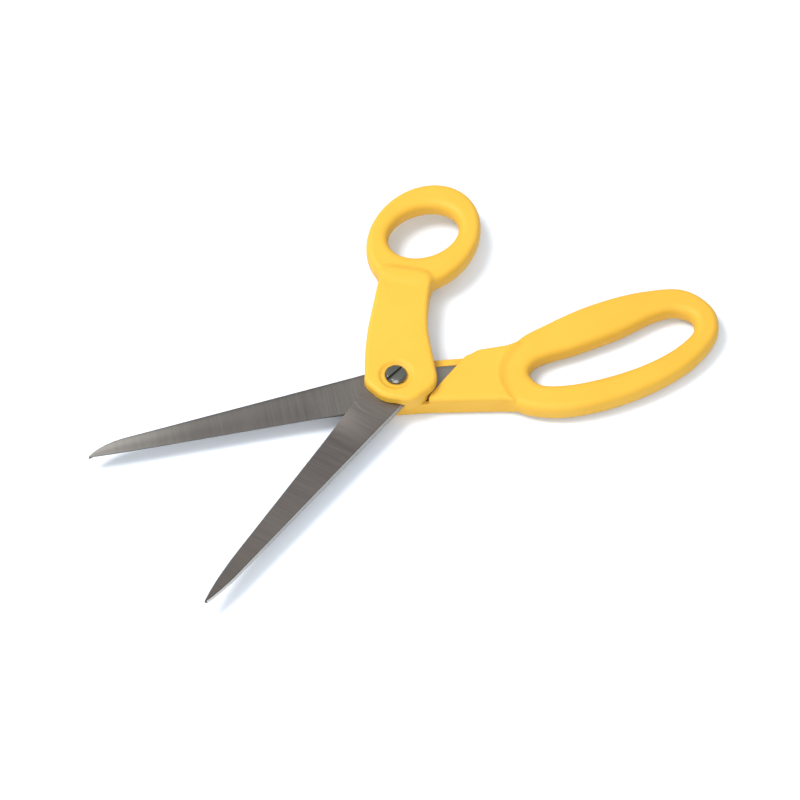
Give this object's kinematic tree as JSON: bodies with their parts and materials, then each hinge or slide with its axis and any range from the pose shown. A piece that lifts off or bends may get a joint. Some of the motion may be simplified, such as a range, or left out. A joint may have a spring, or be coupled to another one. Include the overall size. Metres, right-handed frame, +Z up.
{
  "type": "office scissors",
  "caption": "Office scissors with long tapered steel blades, moulded plastic handles with a round thumb loop and a long finger loop, and a slotted pivot screw.",
  "frame": {"origin": "on the pivot axis, on the flat underside that the scissors lie on (the pivot nut's flush face)", "axes": "+Z up along the pivot axis from the underside to the screw head; the finger blade points along -X, and the handles are on the +X side"},
  "size_m": [0.2158, 0.149, 0.0134],
  "materials": {
    "handle_plastic": "satin moulded plastic, warm yellow",
    "blade_steel": "fine ground stainless steel",
    "screw_steel": "dark bright-turned steel"
  },
  "bodies": {
    "finger_half": {"finger_handle": "handle_plastic", "finger_blade": "blade_steel", "pivot_nut": "screw_steel"},
    "thumb_half": {"thumb_handle": "handle_plastic", "thumb_blade": "blade_steel"},
    "tension_screw": {"pivot_screw": "screw_steel", "spring_washer": "screw_steel"}
  },
  "joints": [
    {"name": "blade_pivot", "type": "hinge", "parent": "finger_half", "child": "thumb_half", "pos_m": [0, 0, 0.00625], "axis": [0, 0, 1], "range_deg": [-37, 50]},
    {"name": "tension_adjust", "type": "hinge", "parent": "finger_half", "child": "tension_screw", "pos_m": [0, 0, 0.0125], "axis": [0, 0, 1], "range_deg": [-45, 45]}
  ]
}
